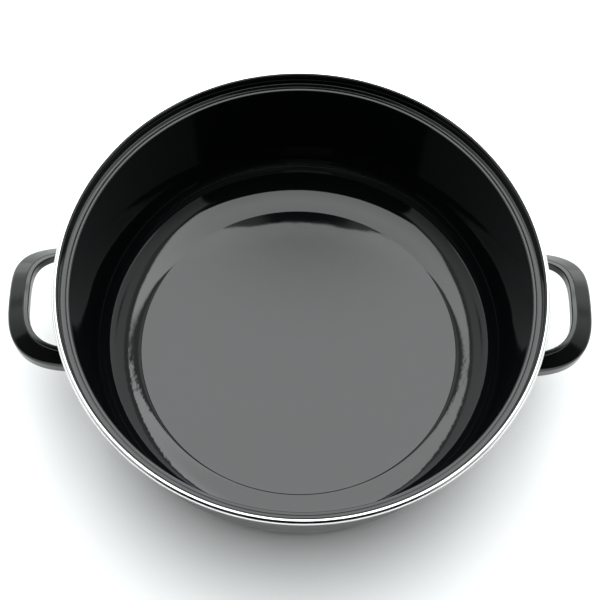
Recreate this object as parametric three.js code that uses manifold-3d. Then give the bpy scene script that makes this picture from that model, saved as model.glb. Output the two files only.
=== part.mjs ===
// Water bath canner: an open enamelled steel pot with a stainless rim ring and two bolted loop handles.
// Millimetres, +Z up. The origin is the centre of the flat base, +X points at the right handle and
// -Y at the front. Profiles are written as (radius, height) pairs.

import * as THREE from 'three';
import { mergeVertices } from 'three/addons/utils/BufferGeometryUtils.js';
import Module from 'manifold-3d';

const wasm = await Module();
wasm.setup();

// Shared sizes
const GAP = 0.3;
const SHEET = 1.2;
const TURNS = 64;

// Floor: radii from the axis, and slopes of the inside surface in degrees
const DISC_RADIUS = 132.7;
const FLOOR_END_RADIUS = 151.5;
const FLOOR_SLOPE = 16.5;
const CREASE_SWELL = { slope: 2.2, run: 5.2 };
const FLOOR_TURN_UP = { radius: 142.8, slopePerMm: 0.9 };

// Wall and ledge: the wall's line meets the height of the ledge at the top radius
const WALL_TOP_RADIUS = 178.8;
const WALL_SLOPE = 0.0929;
const WALL_ANGLE = 90 - THREE.MathUtils.radToDeg(Math.atan(WALL_SLOPE));
const LEDGE_HEIGHT = 123.3;
const LEDGE_INNER_RADIUS = 181.3;
const LEDGE_OUTER_RADIUS = 184.9;
const LEDGE_CHAMFER_ANGLE = 24;
const LEDGE_EDGE_RADIUS = 1;
const LEDGE_FILLET = 0.8;
const CURL_CENTRE = new THREE.Vector2(188.0, 131.9);
const CURL_RADIUS = 2.2;

// Rim ring: a C section around the curl
const RING_INNER = CURL_RADIUS + GAP;
const RING_OUTER = RING_INNER + 0.5;
const RING_TOP_ANGLE = 100;
const RING_UNDER_ANGLE = -75;

// Handles: plan outlines are superellipses about a point inside the wall
const HANDLE_CENTRE = 160;
const HANDLE_OUTER = new THREE.Vector2(70, 52.8);
const HANDLE_INNER = new THREE.Vector2(53.5, 40.9);
const HANDLE_POWER = 3.6;
const HANDLE_TOP = 97.9;
const HANDLE_THICKNESS = 13;
const HANDLE_CROWN = 5.6;
const HANDLE_BEVEL = { run: 4, fall: 0.6 };
const HANDLE_DROP = 17.5;
const HANDLE_DROP_POWER = 2.1;
const HANDLE_ROOT_ANGLE = THREE.MathUtils.degToRad(89.6);

// Handle fixings: one lug, screw, spring washer and threaded insert under each leg
const LEG_X = 179;
const LEG_Y = 46.5;
const SEAT_HEIGHT = 65;
const SEAT_RADIUS = 4.6;
const SEAT_LENGTH = 15;
const LUG_THICKNESS = 2;
const LUG_TONGUE = { inner: 160, outer: 184, halfWidth: 5.5 };
const LUG_PAD = { halfWidth: 9, bottom: 45 };
const LUG_HOLE_RADIUS = 2.4;
const WASHER = { inner: 2.3, outer: 4, thickness: 1, split: 0.8 };
const SCREW = { shank: 2, head: 4, headRim: 0.9, headDome: 1.7, length: 12, slotWidth: 1, slotDepth: 1 };
const INSERT = { inner: 2.3, outer: 3.2, length: 8 };
const ROUND_STEPS = 24;

// --- solids ---

function solid(geometry) {
  const shape = geometry.clone();
  shape.deleteAttribute('normal');
  shape.deleteAttribute('uv');
  const merged = mergeVertices(shape, 1e-4);
  const index = merged.getIndex().array;
  const triangles = [];
  for (let i = 0; i < index.length; i += 3) {
    const [a, b, c] = index.slice(i, i + 3);
    if (a !== b && b !== c && c !== a) {
      triangles.push(a, b, c);
    }
  }
  return new wasm.Manifold(
    new wasm.Mesh({
      numProp: 3,
      vertProperties: new Float32Array(merged.getAttribute('position').array),
      triVerts: new Uint32Array(triangles),
    }),
  );
}

function mesh(name, shape, material) {
  const data = shape.getMesh();
  const geometry = new THREE.BufferGeometry();
  geometry.setAttribute('position', new THREE.BufferAttribute(new Float32Array(data.vertProperties), 3));
  geometry.setIndex(new THREE.BufferAttribute(new Uint32Array(data.triVerts), 1));
  geometry.computeVertexNormals();
  const result = new THREE.Mesh(geometry, material);
  result.name = name;
  return result;
}

// A turned solid. The profile runs anticlockwise in the (radius, height) plane.
function turned(profile, turns = TURNS) {
  const closed = [...profile];
  if (profile[0].x > 0) {
    closed.push(profile[0].clone());
  }
  return solid(new THREE.LatheGeometry(closed, turns).rotateX(Math.PI / 2));
}

function cylinder(radius, bottom, top, x, y) {
  const profile = [
    new THREE.Vector2(0, bottom),
    new THREE.Vector2(radius, bottom),
    new THREE.Vector2(radius, top),
    new THREE.Vector2(0, top),
  ];
  return solid(new THREE.LatheGeometry(profile, ROUND_STEPS).rotateX(Math.PI / 2).translate(x, y, 0));
}

function box(low, high) {
  const size = new THREE.Vector3().subVectors(high, low);
  const middle = new THREE.Vector3().addVectors(low, high).multiplyScalar(0.5);
  const geometry = new THREE.BoxGeometry(size.x, size.y, size.z);
  return solid(geometry.translate(middle.x, middle.y, middle.z));
}

// Points on a circle in the (radius, height) plane, with both ends
function arc(centre, radius, fromDegrees, toDegrees, steps) {
  const points = [];
  for (let i = 0; i <= steps; i += 1) {
    const angle = THREE.MathUtils.degToRad(fromDegrees + ((toDegrees - fromDegrees) * i) / steps);
    points.push(
      new THREE.Vector2(centre.x + radius * Math.cos(angle), centre.y + radius * Math.sin(angle)),
    );
  }
  return points;
}

// The same line moved sideways, to its right, by the sheet's thickness
function offsetLine(points, distance) {
  return points.map((point, i) => {
    const before = points[Math.max(i - 1, 0)];
    const after = points[Math.min(i + 1, points.length - 1)];
    const arriving = new THREE.Vector2().subVectors(point, before).normalize();
    const leaving = new THREE.Vector2().subVectors(after, point).normalize();
    const middle = new THREE.Vector2().addVectors(arriving, leaving).normalize();
    const isEnd = i === 0 || i === points.length - 1;
    const stretch = isEnd ? distance : distance / Math.max(middle.dot(leaving), 0.5);
    return new THREE.Vector2(point.x + middle.y * stretch, point.y - middle.x * stretch);
  });
}

// --- body ---

// Slope of the inside floor outside the flat disc, in degrees
function floorSlope(radius) {
  const swell = CREASE_SWELL.slope * Math.exp(-(((radius - DISC_RADIUS) / CREASE_SWELL.run) ** 2));
  const turnUp = FLOOR_TURN_UP.slopePerMm * Math.max(radius - FLOOR_TURN_UP.radius, 0);
  return FLOOR_SLOPE + swell + turnUp;
}

function floorHeight(radius) {
  const steps = 60;
  const step = (radius - DISC_RADIUS) / steps;
  let height = SHEET;
  for (let i = 0; i < steps; i += 1) {
    height += step * Math.tan(THREE.MathUtils.degToRad(floorSlope(DISC_RADIUS + (i + 0.5) * step)));
  }
  return height;
}

function heading(degrees) {
  const angle = THREE.MathUtils.degToRad(degrees);
  return new THREE.Vector2(Math.cos(angle), Math.sin(angle));
}

// An arc between two headings that starts the given distance before their corner
function bend(corner, from, to, distance, steps) {
  const side = Math.sign(to - from);
  const radius = distance / Math.tan(THREE.MathUtils.degToRad(Math.abs(to - from) / 2));
  const start = corner.clone().addScaledVector(heading(from), -distance);
  const centre = start.addScaledVector(heading(from + 90 * side), radius);
  return arc(centre, radius, from - 90 * side, to - 90 * side, steps);
}

// Radii of the inside and the outside of the wall at a height
function wallInside(height) {
  return WALL_TOP_RADIUS - WALL_SLOPE * (LEDGE_HEIGHT - height);
}

function wallOutside(height) {
  return wallInside(height) + SHEET * Math.hypot(1, WALL_SLOPE);
}

// The corner where a line at the given angle through a point meets the inside of the wall
function wallCorner(point, angle) {
  const along = heading(angle);
  const distance = (wallInside(point.y) - point.x) / (along.x - WALL_SLOPE * along.y);
  return point.clone().addScaledVector(along, distance);
}

function insideLine() {
  const line = [new THREE.Vector2(0, SHEET)];
  for (const share of [0, 0.15, 0.35, 0.55, 0.78]) {
    const radius = THREE.MathUtils.lerp(DISC_RADIUS, FLOOR_END_RADIUS, share);
    line.push(new THREE.Vector2(radius, floorHeight(radius)));
  }
  const floorEnd = new THREE.Vector2(FLOOR_END_RADIUS, floorHeight(FLOOR_END_RADIUS));
  const endSlope = floorSlope(FLOOR_END_RADIUS);
  const foot = wallCorner(floorEnd, endSlope);
  line.push(...bend(foot, endSlope, WALL_ANGLE, foot.distanceTo(floorEnd), 9));
  const ledgeStart = new THREE.Vector2(LEDGE_INNER_RADIUS, LEDGE_HEIGHT);
  const edge = wallCorner(ledgeStart, LEDGE_CHAMFER_ANGLE);
  const halfTurn = THREE.MathUtils.degToRad((WALL_ANGLE - LEDGE_CHAMFER_ANGLE) / 2);
  const edgeRun = LEDGE_EDGE_RADIUS * Math.tan(halfTurn);
  line.push(...bend(edge, WALL_ANGLE, LEDGE_CHAMFER_ANGLE, edgeRun, 3));
  line.push(ledgeStart);
  const filletCentre = new THREE.Vector2(LEDGE_OUTER_RADIUS, LEDGE_HEIGHT + LEDGE_FILLET);
  line.push(...arc(filletCentre, LEDGE_FILLET, -90, 0, 2));
  line.push(...arc(CURL_CENTRE, CURL_RADIUS, 180, -60, 8));
  return line;
}

function potBody() {
  const inside = insideLine();
  const outside = offsetLine(inside, SHEET);
  outside[0].set(0, 0);
  outside[1].y = 0;
  return turned([...outside, ...inside.reverse()]);
}

function rimRing() {
  const outer = arc(CURL_CENTRE, RING_OUTER, RING_UNDER_ANGLE, RING_TOP_ANGLE, 9);
  const inner = arc(CURL_CENTRE, RING_INNER, RING_TOP_ANGLE, RING_UNDER_ANGLE, 9);
  return turned([...outer, ...inner]);
}

// A solid cone that stands a gap clear of the outside of the wall
function wallClearance(gap) {
  const bottom = 30;
  const top = 115;
  return turned([
    new THREE.Vector2(0, bottom),
    new THREE.Vector2(wallOutside(bottom) + gap, bottom),
    new THREE.Vector2(wallOutside(top) + gap, top),
    new THREE.Vector2(0, top),
  ]);
}

// --- handle ---

function outlinePoint(axes, angle) {
  const power = 2 / HANDLE_POWER;
  return new THREE.Vector2(
    HANDLE_CENTRE + axes.x * Math.abs(Math.cos(angle)) ** power,
    axes.y * Math.sign(Math.sin(angle)) * Math.abs(Math.sin(angle)) ** power,
  );
}

// Outline angles evenly spaced along the handle's outer edge, from leg to leg
function evenAngles(count) {
  const fine = 600;
  const angles = [];
  const lengths = [0];
  for (let i = 0; i <= fine; i += 1) {
    angles.push(-HANDLE_ROOT_ANGLE + (2 * HANDLE_ROOT_ANGLE * i) / fine);
    if (i > 0) {
      const previous = outlinePoint(HANDLE_OUTER, angles[i - 1]);
      lengths.push(lengths[i - 1] + previous.distanceTo(outlinePoint(HANDLE_OUTER, angles[i])));
    }
  }
  const even = [];
  for (let k = 0; k <= count; k += 1) {
    const wanted = (lengths[fine] * k) / count;
    even.push(angles[lengths.findIndex((length) => length >= wanted - 1e-9)]);
  }
  return even;
}

// The corners of a cross-section as [run from the inner side, height, rounding]: a sloping top,
// an inner bevel along its high side, and an underside parallel to the top
function sectionCorners(width) {
  const ridge = HANDLE_CROWN * (1 - HANDLE_BEVEL.run / width);
  return [
    [width, -HANDLE_THICKNESS, 3],
    [width, 0, 2.2],
    [HANDLE_BEVEL.run, ridge, 0.6],
    [0, ridge - HANDLE_BEVEL.fall, 1],
    [0, HANDLE_CROWN - HANDLE_THICKNESS, 2.5],
  ];
}

// A polygon with each corner replaced by a curve that starts and ends its rounding away
function rounded(corners, steps) {
  const points = [];
  corners.forEach(([x, y, rounding], i) => {
    const corner = new THREE.Vector2(x, y);
    const [before, after] = [corners.at(i - 1), corners[(i + 1) % corners.length]].map((other) => {
      const away = new THREE.Vector2(other[0] - x, other[1] - y).setLength(rounding);
      return away.add(corner);
    });
    points.push(...new THREE.QuadraticBezierCurve(before, corner, after).getPoints(steps));
  });
  return points;
}

function handleSection(angle, steps) {
  const outer = outlinePoint(HANDLE_OUTER, angle);
  const inner = outlinePoint(HANDLE_INNER, angle);
  const width = outer.distanceTo(inner);
  return rounded(sectionCorners(width), steps).map((point) => {
    const plan = new THREE.Vector2().lerpVectors(inner, outer, point.x / width);
    const drop = HANDLE_DROP * (Math.abs(plan.y) / HANDLE_OUTER.y) ** HANDLE_DROP_POWER;
    return new THREE.Vector3(plan.x, plan.y, HANDLE_TOP - drop + point.y);
  });
}

// A closed solid through a row of equal cross-sections, with flat end caps
function loft(sections) {
  const steps = sections[0].length;
  const points = sections.flat();
  const triangles = [];
  for (let k = 0; k < sections.length - 1; k += 1) {
    for (let i = 0; i < steps; i += 1) {
      const a = k * steps + i;
      const b = k * steps + ((i + 1) % steps);
      triangles.push(a, a + steps, b, b, a + steps, b + steps);
    }
  }
  const last = (sections.length - 1) * steps;
  for (let i = 1; i < steps - 1; i += 1) {
    triangles.push(0, i, i + 1);
    triangles.push(last, last + i + 1, last + i);
  }
  const geometry = new THREE.BufferGeometry().setFromPoints(points);
  geometry.setIndex(triangles);
  return solid(geometry);
}

function handle() {
  let shape = loft(evenAngles(40).map((angle) => handleSection(angle, 2)));
  for (const side of [-1, 1]) {
    const seat = cylinder(SEAT_RADIUS, SEAT_HEIGHT, SEAT_HEIGHT + SEAT_LENGTH, LEG_X, side * LEG_Y);
    shape = shape.add(seat);
  }
  for (const side of [-1, 1]) {
    const pocketTop = SEAT_HEIGHT + INSERT.length + 1.5;
    shape = shape.subtract(cylinder(INSERT.outer + GAP, SEAT_HEIGHT - 1, pocketTop, LEG_X, side * LEG_Y));
  }
  return shape.subtract(wallClearance(GAP));
}

// --- handle fixings ---

function lug(side) {
  const top = SEAT_HEIGHT - GAP;
  const middle = side * LEG_Y;
  const tongue = box(
    new THREE.Vector3(LUG_TONGUE.inner, middle - LUG_TONGUE.halfWidth, top - LUG_THICKNESS),
    new THREE.Vector3(LUG_TONGUE.outer, middle + LUG_TONGUE.halfWidth, top),
  );
  const padBlock = box(
    new THREE.Vector3(LUG_TONGUE.inner - 20, middle - LUG_PAD.halfWidth, LUG_PAD.bottom),
    new THREE.Vector3(LUG_TONGUE.outer, middle + LUG_PAD.halfWidth, top),
  );
  const pad = padBlock.intersect(wallClearance(GAP + LUG_THICKNESS));
  const hole = cylinder(LUG_HOLE_RADIUS, top - 2 * LUG_THICKNESS, top + LUG_THICKNESS, LEG_X, middle);
  return tongue.add(pad).subtract(hole).subtract(wallClearance(GAP));
}

const LUG_UNDERSIDE = SEAT_HEIGHT - GAP - LUG_THICKNESS;
const WASHER_UNDERSIDE = LUG_UNDERSIDE - GAP - WASHER.thickness;
const HEAD_TOP = WASHER_UNDERSIDE - GAP;

function springWasher(side) {
  const middle = side * LEG_Y;
  const top = WASHER_UNDERSIDE + WASHER.thickness;
  const ring = cylinder(WASHER.outer, WASHER_UNDERSIDE, top, LEG_X, middle)
    .subtract(cylinder(WASHER.inner, WASHER_UNDERSIDE - 1, top + 1, LEG_X, middle));
  const split = box(
    new THREE.Vector3(LEG_X, middle - WASHER.split / 2, WASHER_UNDERSIDE - 1),
    new THREE.Vector3(LEG_X + WASHER.outer + 1, middle + WASHER.split / 2, top + 1),
  );
  return ring.subtract(split);
}

function screw(side) {
  const middle = side * LEG_Y;
  const rim = HEAD_TOP - SCREW.headRim;
  const bottom = rim - SCREW.headDome;
  const profile = [new THREE.Vector2(0, bottom)];
  for (let i = 1; i <= 4; i += 1) {
    const angle = (Math.PI / 2) * (i / 4);
    profile.push(new THREE.Vector2(SCREW.head * Math.sin(angle), rim - SCREW.headDome * Math.cos(angle)));
  }
  profile.push(new THREE.Vector2(SCREW.head, HEAD_TOP));
  profile.push(new THREE.Vector2(SCREW.shank, HEAD_TOP));
  profile.push(new THREE.Vector2(SCREW.shank, HEAD_TOP + SCREW.length));
  profile.push(new THREE.Vector2(0, HEAD_TOP + SCREW.length));
  const geometry = new THREE.LatheGeometry(profile, ROUND_STEPS).rotateX(Math.PI / 2);
  const body = solid(geometry.translate(LEG_X, middle, 0));
  const slot = box(
    new THREE.Vector3(LEG_X - SCREW.head, middle - SCREW.slotWidth / 2, bottom - 1),
    new THREE.Vector3(LEG_X + SCREW.head, middle + SCREW.slotWidth / 2, bottom + SCREW.slotDepth),
  );
  return body.subtract(slot);
}

function legInsert(side) {
  const middle = side * LEG_Y;
  const bottom = SEAT_HEIGHT + GAP;
  return cylinder(INSERT.outer, bottom, bottom + INSERT.length, LEG_X, middle)
    .subtract(cylinder(INSERT.inner, bottom - 1, bottom + INSERT.length + 1, LEG_X, middle));
}

// --- assembly ---

function finish(color, roughness, metalness) {
  return new THREE.MeshStandardMaterial({ color, roughness, metalness });
}

const enamel = () => finish(0x0b0c0d, 0.12, 0);
const stainless = () => finish(0xc9cac8, 0.2, 1);
const phenolic = () => finish(0x101112, 0.18, 0);
const zincSteel = () => finish(0xa9abad, 0.35, 1);
const brass = () => finish(0xb5954f, 0.3, 1);

function handleSet(sideName, turn) {
  const set = new THREE.Group();
  set.rotation.z = turn;
  set.add(mesh(`handle_${sideName}`, handle(), phenolic()));
  for (const side of [-1, 1]) {
    const isRear = turn === 0 ? side > 0 : side < 0;
    const place = `${sideName}_${isRear ? 'rear' : 'front'}`;
    set.add(mesh(`handle_bracket_${place}`, lug(side), enamel()));
    set.add(mesh(`spring_washer_${place}`, springWasher(side), zincSteel()));
    set.add(mesh(`handle_screw_${place}`, screw(side), zincSteel()));
    set.add(mesh(`leg_insert_${place}`, legInsert(side), brass()));
  }
  return set;
}

const canner = new THREE.Group();
canner.add(mesh('pot_body', potBody(), enamel()));
canner.add(mesh('rim_ring', rimRing(), stainless()));
canner.add(handleSet('right', 0));
canner.add(handleSet('left', Math.PI));

export default canner;
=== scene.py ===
"""Water bath canner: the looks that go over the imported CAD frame.
Metres, +Z up, right handle along +X, front along -Y."""

import math

import bpy
from mathutils import Matrix, Vector


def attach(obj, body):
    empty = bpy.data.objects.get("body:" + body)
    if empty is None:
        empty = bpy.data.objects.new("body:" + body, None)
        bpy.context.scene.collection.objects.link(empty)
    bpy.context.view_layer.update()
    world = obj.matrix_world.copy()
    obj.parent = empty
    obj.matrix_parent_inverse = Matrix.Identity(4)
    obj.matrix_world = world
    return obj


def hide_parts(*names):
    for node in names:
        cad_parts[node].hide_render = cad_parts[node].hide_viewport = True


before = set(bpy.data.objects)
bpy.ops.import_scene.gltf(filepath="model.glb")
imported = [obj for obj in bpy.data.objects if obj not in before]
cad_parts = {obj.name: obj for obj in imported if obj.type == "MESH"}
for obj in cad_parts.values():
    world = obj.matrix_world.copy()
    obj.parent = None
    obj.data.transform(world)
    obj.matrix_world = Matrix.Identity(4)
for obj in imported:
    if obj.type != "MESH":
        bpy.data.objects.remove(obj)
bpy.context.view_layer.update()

MM = 0.001

# --- sizes in the CAD frame, in millimetres and degrees ---
FIT_GAP = 0.3
SHEET = 1.2
DISC_RADIUS = 132.7
WALL_SLOPE = 0.0929
WALL_ANGLE = 90 - math.degrees(math.atan(WALL_SLOPE))
WALL_TOP_RADIUS = 178.8
LEDGE_HEIGHT = 123.3
LEDGE_INNER_RADIUS = 181.3
LEDGE_OUTER_RADIUS = 184.9
LEDGE_CHAMFER_ANGLE = 24.0
LEDGE_EDGE_RADIUS = 1.0
LEDGE_FILLET = 0.8
CURL_CENTRE = (188.0, 131.9)
CURL_RADIUS = 2.2
RING_INNER = 2.5
RING_OUTER = 2.95
RING_ARC = (-75, 100)
TURNS = 360

HANDLE_CENTRE = 160.0
HANDLE_OUTER = (70.0, 52.8)
HANDLE_INNER = (53.5, 40.9)
HANDLE_POWER = 3.6
HANDLE_TOP = 97.9
HANDLE_THICKNESS = 13.0
HANDLE_CROWN = 5.6
HANDLE_BEVEL_RUN = 4.0
HANDLE_BEVEL_FALL = 0.6
HANDLE_DROP = 17.5
HANDLE_DROP_POWER = 2.1
HANDLE_GROOVE_HALF_WIDTH = 0.35
HANDLE_GROOVE_DEPTH = 0.4
HANDLE_STEPS = 180
HANDLE_END_ANGLE = 89.6
LEG_X = 179.0
LEG_Y = 46.5
SEAT_HEIGHT = 65.0
SEAT_TOP = 80.0
SEAT_RADIUS = 4.6
SEAT_TURNS = 48
POCKET_TOP = 74.5
POCKET_RADIUS = 3.5

# --- fine shape of the floor and the ledge ---
DISH_START = 95.0
DISH_SLOPE = 1.1
BORDER_SLOPE = 16.0
BORDER_END = 151.5
CREASE_SWELL_SLOPE = 2.2
CREASE_SWELL_RUN = 5.2
CREASE_STEP_SLOPE = 28.0
CREASE_STEP_RUN = 0.7
CREASE_STEP_RISE = 0.43
CREASE_STEP_FADE = (0.33, 0.6)
TURN_UP_START = 143.3
TURN_UP_RATE = 0.8
BORDER_TILT = 0.1
REAR_LIFT = 0.22
REAR_LIFT_START = 114.0
REAR_LIFT_RISE = (0.3, 0.55)
REAR_LIFT_FALL = (0.8, 0.93)
OUT_OF_ROUND = 1.8
OUT_OF_ROUND_RADII = (60, 128)
SHAPED_BELOW = (10.0, 42.0)
LEDGE_GROOVE = ((-0.1, 0.045), (0.2, 0.4), (0.35, 0.4), (0.6, 0.03), (0.75, 0.0))


# --- mesh helpers ---
def new_object(name, verts, faces):
    mesh = bpy.data.meshes.new(name)
    mesh.from_pydata([Vector(v) * MM for v in verts], [], faces)
    mesh.validate()
    mesh.update()
    for polygon in mesh.polygons:
        polygon.use_smooth = True
    obj = bpy.data.objects.new(name, mesh)
    bpy.context.scene.collection.objects.link(obj)
    return obj


def turned_rows(verts, profile, turns, x=0.0, y=0.0):
    """Adds one ring of vertices for each profile point. A point on the axis is a single vertex."""
    rows = []
    for radius, height in profile:
        if radius < 1e-6:
            rows.append([len(verts)] * turns)
            verts.append((x, y, height))
            continue
        rows.append(list(range(len(verts), len(verts) + turns)))
        for k in range(turns):
            angle = 2 * math.pi * k / turns
            verts.append((x + radius * math.cos(angle), y + radius * math.sin(angle), height))
    return rows


def turned_faces(lower, upper):
    """The faces between two rings, as triangles where one ring is a single vertex."""
    faces = []
    turns = len(lower)
    for k in range(turns):
        j = (k + 1) % turns
        corners = [lower[k], lower[j], upper[j], upper[k]]
        face = [c for n, c in enumerate(corners) if c not in corners[:n]]
        if len(face) > 2:
            faces.append(face)
    return faces


def lathe(name, profile):
    """A closed turned mesh. A profile that starts on the axis ends there too."""
    verts = []
    rows = turned_rows(verts, profile, TURNS)
    faces = []
    for i in range(len(rows) - 1):
        faces += turned_faces(rows[i], rows[i + 1])
    if profile[0][0] > 1e-6:
        faces += turned_faces(rows[-1], rows[0])
    return new_object(name, verts, faces)


def arc(centre, radius, start, end, steps):
    points = []
    for i in range(steps + 1):
        angle = math.radians(start + (end - start) * i / steps)
        points.append((centre[0] + radius * math.cos(angle), centre[1] + radius * math.sin(angle)))
    return points


def offset_line(points, distance):
    """The line moved to its right, with each corner mitred."""
    moved = []
    last = len(points) - 1
    for i, (x, y) in enumerate(points):
        before = points[max(i - 1, 0)]
        after = points[min(i + 1, last)]
        ahead = Vector((after[0] - x, after[1] - y))
        behind = Vector((x - before[0], y - before[1]))
        first = behind if i else ahead.copy()
        second = ahead if i < last else behind.copy()
        first.normalize()
        second.normalize()
        middle = (first + second).normalized()
        stretch = distance / max(middle.dot(first), 0.5)
        moved.append((x + middle.y * stretch, y - middle.x * stretch))
    return moved


def resample(points, count):
    """The same line with the given number of points, evenly spaced along it."""
    lengths = [0.0]
    for a, b in zip(points, points[1:]):
        lengths.append(lengths[-1] + math.dist(a, b))
    even = []
    at = 0
    for k in range(count):
        wanted = lengths[-1] * k / (count - 1)
        while at < len(points) - 2 and lengths[at + 1] < wanted:
            at += 1
        span = max(lengths[at + 1] - lengths[at], 1e-9)
        share = clamp((wanted - lengths[at]) / span)
        even.append(tuple(p + (q - p) * share for p, q in zip(points[at], points[at + 1])))
    return even


def clamp(value):
    return min(max(value, 0.0), 1.0)


def smooth(value, start, end):
    t = clamp((value - start) / (end - start))
    return t * t * (3 - 2 * t)


def slope(degrees):
    return math.tan(math.radians(degrees))


# --- pot body and rim ring ---
def floor_slope(radius):
    """Slope of the inside floor, in degrees: a barely dished disc, a crease, then a rising border."""
    if radius < DISC_RADIUS:
        return DISH_SLOPE * smooth(radius, DISH_START, DISC_RADIUS)
    run = radius - DISC_RADIUS
    swell = CREASE_SWELL_SLOPE * math.exp(-(run / CREASE_SWELL_RUN) ** 2)
    step = CREASE_STEP_SLOPE * math.exp(-run / CREASE_STEP_RUN)
    turn_up = TURN_UP_RATE * max(radius - TURN_UP_START, 0.0)
    return BORDER_SLOPE + swell + turn_up + step


def floor_spacing(radius):
    """Distance between the points of the floor's profile: fine at the crease, coarse in the middle."""
    if abs(radius - DISC_RADIUS - 0.5) < 1.5:
        return 0.15
    return 3.0 if radius < 90 else 0.7


def floor_line():
    """The inside of the floor, summed up from its slope in short steps."""
    line = [(0.0, SHEET)]
    radius, height = 0.0, SHEET
    kept = 0.0
    while radius < BORDER_END - 1e-6:
        spacing = floor_spacing(radius)
        step = min(0.05, BORDER_END - radius)
        if radius < DISC_RADIUS - 1e-6:
            step = min(step, DISC_RADIUS - radius)
        height += step * slope(floor_slope(radius + step / 2))
        radius += step
        if radius - kept > spacing - 1e-6 or abs(radius - DISC_RADIUS) < 1e-6:
            line.append((radius, height))
            kept = radius
    line[-1] = (radius, height)
    return line


def heading(degrees):
    return Vector((math.cos(math.radians(degrees)), math.sin(math.radians(degrees))))


def bend(corner, start, end, distance, steps):
    """An arc between two headings that begins the given distance before their corner."""
    side = math.copysign(1, end - start)
    radius = distance / slope(abs(end - start) / 2)
    centre = Vector(corner) - heading(start) * distance + heading(start + 90 * side) * radius
    return arc(centre, radius, start - 90 * side, end - 90 * side, steps)


def wall_inside(height):
    return WALL_TOP_RADIUS - WALL_SLOPE * (LEDGE_HEIGHT - height)


def wall_outside(height):
    return wall_inside(height) + SHEET * math.hypot(1, WALL_SLOPE)


def wall_corner(point, angle):
    """Where a line through the point meets the inside of the wall, and how far away that is."""
    along = heading(angle)
    distance = (wall_inside(point[1]) - point[0]) / (along.x - WALL_SLOPE * along.y)
    return Vector(point) + along * distance, abs(distance)


def inside_line():
    """The inside of the pot from the middle of the floor to the end of the curl."""
    line = floor_line()
    end_slope = floor_slope(BORDER_END)
    foot, distance = wall_corner(line[-1], end_slope)
    corner = bend(foot, end_slope, WALL_ANGLE, distance, 40)
    edge, _ = wall_corner((LEDGE_INNER_RADIUS, LEDGE_HEIGHT), LEDGE_CHAMFER_ANGLE)
    run = LEDGE_EDGE_RADIUS * slope((WALL_ANGLE - LEDGE_CHAMFER_ANGLE) / 2)
    edge_arc = bend(edge, WALL_ANGLE, LEDGE_CHAMFER_ANGLE, run, 10)
    wall_points = 24
    line += corner[1:]
    for i in range(1, wall_points):
        line.append(tuple(Vector(corner[-1]).lerp(Vector(edge_arc[0]), i / wall_points)))
    line += edge_arc
    line += [(LEDGE_INNER_RADIUS + across, LEDGE_HEIGHT - down) for across, down in LEDGE_GROOVE]
    line += arc((LEDGE_OUTER_RADIUS, LEDGE_HEIGHT + LEDGE_FILLET), LEDGE_FILLET, -90, 0, 8)
    line += arc(CURL_CENTRE, CURL_RADIUS, 180, -60, 24)
    return line


def pot_profile():
    """The whole section of the sheet, with the outside flat under the disc."""
    inside = inside_line()
    outside = offset_line(inside, SHEET)
    outside = [(x, 0.0 if x < DISC_RADIUS - 0.2 else max(y, 0.0)) for x, y in outside]
    outside[0] = (0.0, 0.0)
    return outside + inside[::-1]


def floor_lift(x, y, z, radius):
    """How far the pressing raises the round floor at a point. The border is a little steeper
    beside the handles, the crease's step fades to the rear, and the disc's edge is a little
    higher at the two rear corners."""
    run = max(radius - DISC_RADIUS, 0.0)
    border = slope(BORDER_SLOPE) * min(run, BORDER_END - DISC_RADIUS)
    sideways = 2 * (x / radius) ** 2 - 1
    step = CREASE_STEP_RISE * (1 - math.exp(-run / CREASE_STEP_RUN))
    lift = BORDER_TILT * border * sideways - step * smooth(y / radius, *CREASE_STEP_FADE)
    if y > 0:
        across = abs(x) / radius
        corner = smooth(across, *REAR_LIFT_RISE) * (1 - smooth(across, *REAR_LIFT_FALL))
        reach = clamp((radius - REAR_LIFT_START) / (DISC_RADIUS - REAR_LIFT_START))
        lift += REAR_LIFT * reach ** 2 * corner * smooth(z, 0.2, 1.1)
    return lift


def shape_floor(obj):
    """Raises the floor, and makes the disc wider from handle to handle than from front to back."""
    for vertex in obj.data.vertices:
        x, y, z = vertex.co / MM
        radius = math.hypot(x, y)
        if radius < 1e-3:
            continue
        share = 1 - smooth(z, *SHAPED_BELOW)
        sideways = 2 * (x / radius) ** 2 - 1
        widening = OUT_OF_ROUND * sideways * smooth(radius, *OUT_OF_ROUND_RADII) * share
        vertex.co.x *= 1 + widening / radius
        vertex.co.y *= 1 + widening / radius
        vertex.co.z = max(vertex.co.z + floor_lift(x, y, z, radius) * share * MM, 0.0)


def ring_profile():
    start, end = RING_ARC
    return arc(CURL_CENTRE, RING_OUTER, start, end, 30) + arc(CURL_CENTRE, RING_INNER, end, start, 30)


pot = lathe("enamelled_pot", pot_profile())
shape_floor(pot)
ring = lathe("stainless_rim_ring", ring_profile())


# --- handles ---
def outline_point(axes, angle):
    power = 2 / HANDLE_POWER
    x = HANDLE_CENTRE + axes[0] * abs(math.cos(angle)) ** power
    y = axes[1] * math.copysign(abs(math.sin(angle)) ** power, math.sin(angle))
    return x, y


def even_angles(count):
    """Angles that divide the outer outline into equal lengths."""
    reach = math.radians(HANDLE_END_ANGLE)
    fine = 2000
    angles = [-reach + 2 * reach * i / fine for i in range(fine + 1)]
    points = [outline_point(HANDLE_OUTER, a) for a in angles]
    lengths = [0.0]
    for a, b in zip(points, points[1:]):
        lengths.append(lengths[-1] + math.dist(a, b))
    even = []
    at = 0
    for k in range(count + 1):
        wanted = lengths[-1] * k / count
        while at < fine and lengths[at] < wanted:
            at += 1
        even.append(angles[at])
    return even


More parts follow.
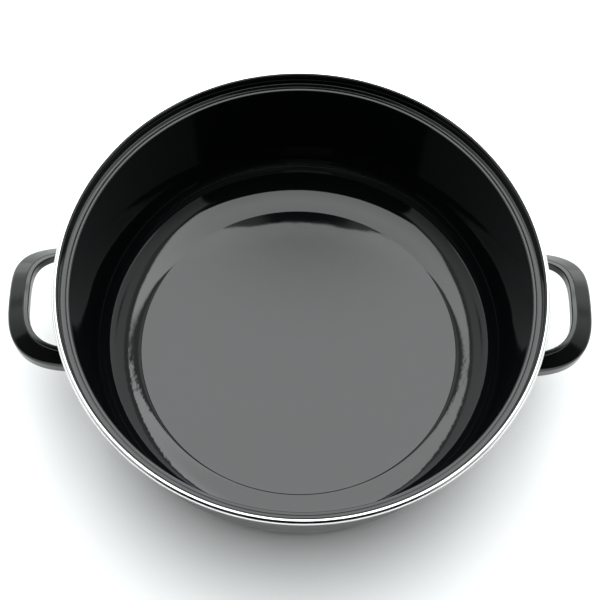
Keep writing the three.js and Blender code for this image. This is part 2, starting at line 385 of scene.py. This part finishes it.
def section_corners(width):
    """Corners as (run from the inner side, height, rounding), with a fine groove beside the bevel."""
    ridge = HANDLE_CROWN * (1 - HANDLE_BEVEL_RUN / width)
    half = HANDLE_GROOVE_HALF_WIDTH
    top_fall = HANDLE_CROWN / width
    bevel_fall = HANDLE_BEVEL_FALL / HANDLE_BEVEL_RUN
    return (
        (width, -HANDLE_THICKNESS, 3.0),
        (width, 0.0, 2.2),
        (HANDLE_BEVEL_RUN + half, ridge - half * top_fall, 0.1),
        (HANDLE_BEVEL_RUN, ridge - HANDLE_GROOVE_DEPTH, 0.1),
        (HANDLE_BEVEL_RUN - half, ridge - half * bevel_fall, 0.1),
        (0.0, ridge - HANDLE_BEVEL_FALL, 1.0),
        (0.0, HANDLE_CROWN - HANDLE_THICKNESS, 2.5),
    )


def rounded(corners, steps, straight):
    """A polygon with rounded corners, and a few more points along each straight side."""
    points = []
    count = len(corners)
    ends = []
    for i, (x, y, rounding) in enumerate(corners):
        corner = Vector((x, y))
        before = Vector(corners[i - 1][:2])
        after = Vector(corners[(i + 1) % count][:2])
        start = corner + (before - corner).normalized() * rounding
        end = corner + (after - corner).normalized() * rounding
        ends.append((start, corner, end))
    for i, (start, corner, end) in enumerate(ends):
        for k in range(steps + 1):
            t = k / steps
            points.append((1 - t) ** 2 * start + 2 * t * (1 - t) * corner + t ** 2 * end)
        following = ends[(i + 1) % count][0]
        for share in straight:
            points.append(end.lerp(following, share))
    return points


def handle_sections(angles):
    """One list of points along the handle for each point of its cross-section."""
    lines = None
    for angle in angles:
        outer = Vector(outline_point(HANDLE_OUTER, angle))
        inner = Vector(outline_point(HANDLE_INNER, angle))
        width = (outer - inner).length
        section = []
        for point in rounded(section_corners(width), 8, (0.06, 0.5, 0.94)):
            plan = inner.lerp(outer, point.x / width)
            drop = HANDLE_DROP * (abs(plan.y) / HANDLE_OUTER[1]) ** HANDLE_DROP_POWER
            section.append((plan.x, plan.y, HANDLE_TOP - drop + point.y))
        lines = lines or [[] for _ in section]
        for line, point in zip(lines, section):
            line.append(point)
    return lines


def outside_wall(point):
    return math.hypot(point[0], point[1]) - wall_outside(point[2]) - FIT_GAP


def wall_crossing(a, b):
    """The point between a and b where the handle ends, just clear of the pot wall."""
    share = outside_wall(a) / (outside_wall(a) - outside_wall(b))
    return tuple(p + (q - p) * share for p, q in zip(a, b))


def clear_of_wall(line):
    """The part of a line along the handle that is outside the pot, with an end point on each side."""
    clear = [n for n, point in enumerate(line) if outside_wall(point) > 0]
    first, last = clear[0], clear[-1]
    start = wall_crossing(line[first - 1], line[first])
    end = wall_crossing(line[last + 1], line[last])
    return [start] + line[first:last + 1] + [end]


def add_seat(verts, faces, x, y):
    """The round leg under a handle arm, with a pocket for the threaded insert."""
    profile = (
        (0.0, POCKET_TOP),
        (POCKET_RADIUS, POCKET_TOP),
        (POCKET_RADIUS, POCKET_TOP - 0.1),
        (POCKET_RADIUS, SEAT_HEIGHT + 0.3),
        (POCKET_RADIUS + 0.3, SEAT_HEIGHT),
        (SEAT_RADIUS - 0.4, SEAT_HEIGHT),
        (SEAT_RADIUS - 0.12, SEAT_HEIGHT + 0.12),
        (SEAT_RADIUS, SEAT_HEIGHT + 0.4),
        (SEAT_RADIUS, SEAT_TOP - 0.1),
        (SEAT_RADIUS - 0.1, SEAT_TOP),
        (0.0, SEAT_TOP),
    )
    rows = turned_rows(verts, profile, SEAT_TURNS, x, y)
    for lower, upper in zip(rows, rows[1:]):
        faces += turned_faces(lower, upper)


def handle_mesh(name, mirror):
    rows = [clear_of_wall(line) for line in handle_sections(even_angles(HANDLE_STEPS))]
    count = min(len(row) for row in rows)
    sampled = [resample(row, count) for row in rows]
    sign = -1 if mirror else 1
    verts = [(sign * p[0], sign * p[1], p[2]) for points in sampled for p in points]
    starts = [i * count for i in range(len(sampled))]
    faces = []
    for i, start in enumerate(starts):
        after = starts[(i + 1) % len(starts)]
        for k in range(count - 1):
            faces.append((start + k, start + k + 1, after + k + 1, after + k))
    first_cap = len(faces)
    faces.append(starts)
    faces.append([start + count - 1 for start in reversed(starts)])
    for side in (-1, 1):
        add_seat(verts, faces, sign * LEG_X, sign * side * LEG_Y)
    obj = new_object(name, verts, faces)
    for polygon in obj.data.polygons[first_cap:first_cap + 2]:
        polygon.use_smooth = False
    return obj


handle_right = handle_mesh("loop_handle_right", False)
handle_left = handle_mesh("loop_handle_left", True)


# --- shader node helpers ---
class Graph:
    """Short calls that add shader nodes to a tree and join them up."""

    def __init__(self, tree):
        self.nodes = tree.nodes
        self.links = tree.links

    def put(self, socket, value):
        if isinstance(value, bpy.types.NodeSocket):
            self.links.new(value, socket)
        else:
            socket.default_value = value

    def split(self, vector):
        node = self.nodes.new("ShaderNodeSeparateXYZ")
        self.put(node.inputs["Vector"], vector)
        return node.outputs

    def math(self, operation, *values):
        node = self.nodes.new("ShaderNodeMath")
        node.operation = operation
        for socket, value in zip(node.inputs, values):
            self.put(socket, value)
        return node.outputs[0]

    def product(self, first, *others):
        for other in others:
            first = self.math("MULTIPLY", first, other)
        return first

    def ramp(self, value, start, end, low=0.0, high=1.0, interpolation="LINEAR"):
        node = self.nodes.new("ShaderNodeMapRange")
        node.interpolation_type = interpolation
        for key, number in (("From Min", start), ("From Max", end), ("To Min", low), ("To Max", high)):
            node.inputs[key].default_value = number
        self.put(node.inputs["Value"], value)
        return node.outputs["Result"]

    def fade(self, value, limits, low=0.0, high=1.0):
        return self.ramp(value, *limits, low, high, "SMOOTHSTEP")

    def noise(self, vector, scale, detail):
        node = self.nodes.new("ShaderNodeTexNoise")
        node.inputs["Scale"].default_value = scale
        node.inputs["Detail"].default_value = detail
        node.inputs["Roughness"].default_value = 0.5
        self.put(node.inputs["Vector"], vector)
        return node.outputs["Fac"]

    def mix(self, factor, first, second):
        node = self.nodes.new("ShaderNodeMix")
        node.data_type = "RGBA"
        node.inputs["A"].default_value = (*first, 1)
        node.inputs["B"].default_value = (*second, 1)
        self.put(node.inputs["Factor"], factor)
        return node.outputs["Result"]

    def bump(self, height, distance, strength=1.0, normal=None):
        node = self.nodes.new("ShaderNodeBump")
        self.put(node.inputs["Strength"], strength)
        self.put(node.inputs["Height"], height)
        node.inputs["Distance"].default_value = distance
        if normal is not None:
            self.put(node.inputs["Normal"], normal)
        return node.outputs["Normal"]


# --- materials ---
def new_material(name):
    mat = bpy.data.materials.new(name)
    mat.use_nodes = True
    graph = Graph(mat.node_tree)
    shader = graph.nodes["Principled BSDF"]
    coords = graph.nodes.new("ShaderNodeTexCoord")
    return mat, graph, shader.inputs, coords.outputs["Object"]


ENAMEL_DARK = (0.0024, 0.0028, 0.0032)
ENAMEL_LIGHT = (0.0038, 0.0044, 0.0048)
ENAMEL_PEEL = (70, 0.00003)
ENAMEL_GRAIN = (420, 0.0000016)
BORDER_WAVES = (150, 0.00007)
STAINLESS = ((0.62, 0.62, 0.61), (0.72, 0.72, 0.71))
PHENOLIC = ((0.0035, 0.0035, 0.0037), (0.0065, 0.0065, 0.0067))
ZINC = ((0.42, 0.43, 0.44), (0.62, 0.63, 0.64))
BRASS = ((0.55, 0.38, 0.13), (0.68, 0.5, 0.2))


def front_border(graph, coords):
    """One at the height of the floor's sloping border, on the front half only. In metres."""
    _, y, z = graph.split(coords)
    low = graph.ramp(z, 0.009, 0.014, 1.0, 0.0)
    raised = graph.ramp(z, 0.0025, 0.0035)
    front = graph.ramp(y, -0.03, 0.03, 1.0, 0.0)
    return graph.product(low, raised, front)


def enamel_material():
    mat, graph, inputs, coords = new_material("black_enamel")
    speckle = graph.ramp(graph.noise(coords, 900, 2), 0.35, 0.65)
    graph.put(inputs["Base Color"], graph.mix(speckle, ENAMEL_DARK, ENAMEL_LIGHT))
    mottle = graph.noise(coords, 9, 3)
    graph.put(inputs["Roughness"], graph.ramp(mottle, 0.3, 0.7, 0.035, 0.065))
    peel = graph.noise(coords, ENAMEL_PEEL[0], 2)
    waves = graph.noise(coords, BORDER_WAVES[0], 2)
    grain = graph.noise(coords, ENAMEL_GRAIN[0], 2)
    normal = graph.bump(peel, ENAMEL_PEEL[1])
    normal = graph.bump(waves, BORDER_WAVES[1], front_border(graph, coords), normal)
    normal = graph.bump(grain, ENAMEL_GRAIN[1], 1.0, normal)
    graph.put(inputs["Normal"], normal)
    inputs["IOR"].default_value = 1.5
    return mat


def phenolic_material():
    mat, graph, inputs, coords = new_material("black_phenolic")
    flow = graph.noise(coords, 30, 3)
    graph.put(inputs["Base Color"], graph.mix(flow, *PHENOLIC))
    graph.put(inputs["Roughness"], graph.ramp(flow, 0.3, 0.7, 0.1, 0.16))
    graph.put(inputs["Normal"], graph.bump(graph.noise(coords, 160, 2), 0.00001))
    inputs["IOR"].default_value = 1.55
    return mat


def metal_material(name, colours, scale, detail, roughness):
    """Metal whose colour and roughness vary together."""
    mat, graph, inputs, coords = new_material(name)
    cloud = graph.noise(coords, scale, detail)
    graph.put(inputs["Base Color"], graph.mix(cloud, *colours))
    graph.put(inputs["Roughness"], graph.ramp(cloud, 0.3, 0.7, *roughness))
    inputs["Metallic"].default_value = 1.0
    return mat


def set_material(obj, mat):
    obj.data.materials.clear()
    obj.data.materials.append(mat)


enamel = enamel_material()
stainless = metal_material("polished_stainless", STAINLESS, 55, 4, (0.1, 0.22))
phenolic = phenolic_material()
zinc = metal_material("zinc_plated_steel", ZINC, 400, 4, (0.25, 0.45))
brass = metal_material("turned_brass", BRASS, 500, 3, (0.25, 0.4))

for obj, mat, slot, node in (
    (pot, enamel, "enamel", "pot_body"),
    (ring, stainless, "stainless", "rim_ring"),
    (handle_right, phenolic, "phenolic", "handle_right"),
    (handle_left, phenolic, "phenolic", "handle_left"),
):
    set_material(obj, mat)
    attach(obj, "root")
    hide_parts(node)

for name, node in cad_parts.items():
    if name.startswith("handle_bracket"):
        set_material(node, enamel)
    elif name.startswith(("handle_screw", "spring_washer")):
        set_material(node, zinc)
    elif name.startswith("leg_insert"):
        set_material(node, brass)

# --- camera ---
PICTURE_PX = 600
FOCAL_PX = 1300.0
CENTRE_PX = (301.2, 300.25)
SENSOR_MM = 36.0
PITCH = math.radians(65.45)
ROLL = math.radians(2.93)
YAW = math.radians(2.49)
CAMERA_BACK = 427.418
CAMERA_HEIGHT = 1031.516


def add_camera():
    data = bpy.data.cameras.new("camera")
    camera = bpy.data.objects.new("camera", data)
    bpy.context.scene.collection.objects.link(camera)
    bpy.context.scene.camera = camera
    data.sensor_width = SENSOR_MM
    data.lens = FOCAL_PX / PICTURE_PX * SENSOR_MM
    data.shift_x = (PICTURE_PX / 2 - CENTRE_PX[0]) / PICTURE_PX
    data.shift_y = (CENTRE_PX[1] - PICTURE_PX / 2) / PICTURE_PX
    data.clip_start = 0.05
    data.clip_end = 60
    forward = Vector((0, math.cos(PITCH), -math.sin(PITCH)))
    level_right = Vector((1, 0, 0))
    level_up = level_right.cross(forward)
    right = math.cos(ROLL) * level_right + math.sin(ROLL) * level_up
    up = -math.sin(ROLL) * level_right + math.cos(ROLL) * level_up
    turned = Matrix((right, up, -forward)).transposed().to_4x4()
    place = Matrix.Translation(Vector((0, -CAMERA_BACK, CAMERA_HEIGHT)) * MM) @ turned
    camera.matrix_world = Matrix.Rotation(-YAW, 4, "Z") @ place


add_camera()

# --- stage ---
FLOOR_REACH = 4000
FLOOR_BELOW = 0.0002
FLOOR_COLOUR = (0.92, 0.92, 0.92, 1)
FLOOR_ROUGHNESS = 0.6


def add_stage():
    r = FLOOR_REACH
    floor = new_object("floor", [(-r, -r, 0), (r, -r, 0), (r, r, 0), (-r, r, 0)], [(0, 1, 2, 3)])
    floor.location.z = -FLOOR_BELOW
    mat = bpy.data.materials.new("pale_floor")
    mat.use_nodes = True
    inputs = mat.node_tree.nodes["Principled BSDF"].inputs
    inputs["Base Color"].default_value = FLOOR_COLOUR
    inputs["Roughness"].default_value = FLOOR_ROUGHNESS
    set_material(floor, mat)


add_stage()

# --- light: directions as x/z across and y/z along, so that the studio is a flat ceiling ---
LIGHT_TINT = (0.965, 1.0, 1.0)
HORIZON = 0.02
STRIP_MIDDLE = -0.012
STRIP_EDGE = (0.505, 0.545)
STRIP_FRONT = (-0.26, -0.225)
STRIP_BACK = (2.2, 2.6)
STRIP_LEVEL = (2.9, 4.45)
STRIP_LEVEL_RUN = (-0.4, 0.4)
STRIP_FAR_RUN = (0.7, 1.1)
STRIP_FAR_LEVEL = 0.92
RIGHT_BOOST_RUN = (0.2, 0.45)
RIGHT_BOOST = 1.2
STRIP_DIP = {"depth": 0.7, "middle": (0.0, 0.6), "size": (0.09, 0.1)}
WALL_NEAR = -0.5
WALL_EDGE = (0.6, 0.68)
WALL_RUN = (-1.2, 1.0)
WALL_LEVEL = (0.4, 1.15)
WALL_DIP = {"depth": 0.7, "middle": (1.1, 0.42), "size": (0.12, 0.18)}
GAP_RUN = (-0.6, 0.2)
GAP_EDGE = (0.505, 0.56)
GAP_LEVEL = 0.5
BACK_RUN = (2.2, 2.8)
BACK_LEVEL = 1.1
LOW_HEIGHT = (0.35, 0.5)
LOW_DEPTH = (-0.45, -0.2)
LOW_LEVEL = 1.5


def soft_dip(graph, across, along, depth, middle, size):
    """One, less the depth in a soft oval."""
    squares = []
    for value, centre, width in zip((across, along), middle, size):
        part = graph.math("DIVIDE", graph.math("SUBTRACT", value, centre), width)
        squares.append(graph.math("POWER", part, 2.0))
    oval = graph.math("EXPONENT", graph.math("MULTIPLY", graph.math("ADD", *squares), -1.0))
    return graph.math("SUBTRACT", 1.0, graph.math("MULTIPLY", oval, depth))


def strip_light(graph, slant, along, from_middle):
    """The long bright ceiling strip."""
    return graph.product(
        graph.fade(from_middle, STRIP_EDGE, 1.0, 0.0),
        graph.fade(along, STRIP_FRONT),
        graph.fade(along, STRIP_BACK, 1.0, 0.0),
        graph.fade(along, STRIP_LEVEL_RUN, *STRIP_LEVEL),
        graph.fade(along, STRIP_FAR_RUN, 1.0, STRIP_FAR_LEVEL),
        graph.fade(slant, RIGHT_BOOST_RUN, 1.0, RIGHT_BOOST),
        soft_dip(graph, slant, along, **STRIP_DIP),
    )


def side_light(graph, across, along, from_middle):
    """The paler walls on both sides, and the dim gaps between them and the strip."""
    near = graph.math("MAXIMUM", graph.math("SUBTRACT", WALL_NEAR, along), 0.0)
    wall_edge = graph.math("SUBTRACT", across, near)
    walls = graph.product(
        graph.fade(wall_edge, WALL_EDGE),
        soft_dip(graph, across, along, **WALL_DIP),
        graph.fade(along, WALL_RUN, *WALL_LEVEL),
    )
    gaps = graph.product(
        graph.fade(along, GAP_RUN, 0.0, GAP_LEVEL),
        graph.fade(from_middle, GAP_EDGE),
        graph.fade(wall_edge, WALL_EDGE, 1.0, 0.0),
    )
    return graph.math("ADD", walls, gaps)


def build_world():
    """A soft studio: a bright ceiling strip between two paler walls, dark behind the camera."""
    world = bpy.data.worlds.new("studio")
    bpy.context.scene.world = world
    world.use_nodes = True
    graph = Graph(world.node_tree)
    coords = graph.nodes.new("ShaderNodeTexCoord")
    turn = graph.nodes.new("ShaderNodeVectorRotate")
    turn.rotation_type = "Z_AXIS"
    turn.inputs["Angle"].default_value = YAW
    graph.put(turn.inputs["Vector"], coords.outputs["Generated"])
    x, y, z = graph.split(turn.outputs["Vector"])
    above = graph.math("MAXIMUM", z, HORIZON)
    slant = graph.math("DIVIDE", x, above)
    along = graph.math("DIVIDE", y, above)
    across = graph.math("ABSOLUTE", slant)
    from_middle = graph.math("ABSOLUTE", graph.math("SUBTRACT", slant, STRIP_MIDDLE))
    strip = strip_light(graph, slant, along, from_middle)
    sides = side_light(graph, across, along, from_middle)
    back = graph.fade(along, BACK_RUN, 0.0, BACK_LEVEL)
    sky = graph.math("ADD", graph.math("ADD", strip, sides), back)
    low = graph.product(graph.fade(z, LOW_HEIGHT, LOW_LEVEL, 0.0), graph.fade(y, LOW_DEPTH))
    sky = graph.math("MAXIMUM", sky, low)
    upper = graph.fade(z, (-HORIZON, HORIZON))
    lower = graph.math("SUBTRACT", 1.0, upper)
    background = graph.nodes["Background"].inputs
    background["Color"].default_value = (*LIGHT_TINT, 1)
    graph.put(background["Strength"], graph.math("ADD", graph.math("MULTIPLY", sky, upper), lower))


build_world()

bpy.context.scene.view_settings.view_transform = "Standard"
bpy.context.scene.view_settings.look = "None"

bpy.context.view_layer.update()
